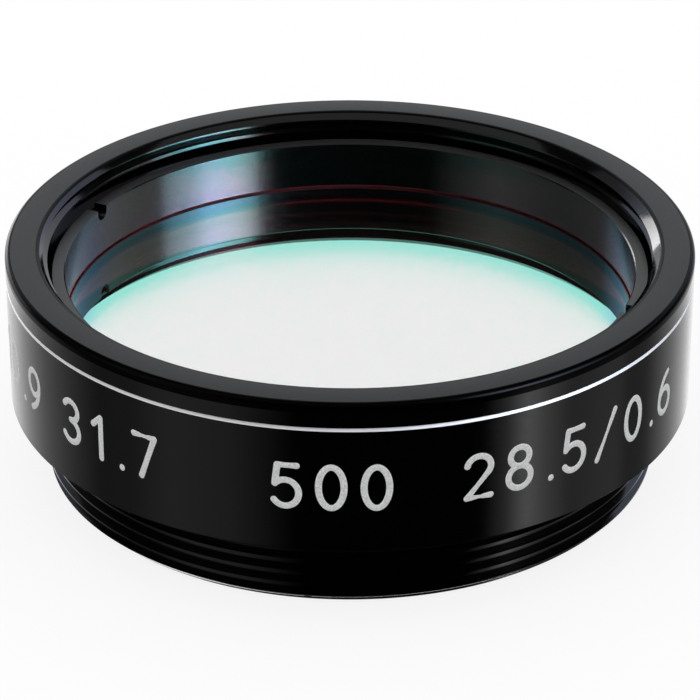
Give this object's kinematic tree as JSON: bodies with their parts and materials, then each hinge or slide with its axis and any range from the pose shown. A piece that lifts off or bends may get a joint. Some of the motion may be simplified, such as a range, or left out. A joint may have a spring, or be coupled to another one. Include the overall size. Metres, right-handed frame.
{
  "type": "optical bandpass filter",
  "caption": "Round screw-in bandpass filter: a coated glass disc held by a slotted ring in a turned black cell, with a male thread below and a female thread in the rim.",
  "frame": {"origin": "centre of the foot, the end of the male thread on which the filter stands", "axes": "+Z along the optical axis, from the male thread towards the rim with the female thread; the cell is round, so +X and +Y lie anywhere across it, with -Y towards the viewer of the picture"},
  "size_m": [0.0318, 0.0316, 0.0109],
  "materials": {
    "cell": "black anodised, satin",
    "ring": "black anodised, satin",
    "glass": "polished, interference coated"
  },
  "bodies": {
    "root": {"filter_cell": "cell", "retaining_ring": "ring", "filter_glass": "glass"}
  },
  "joints": []
}
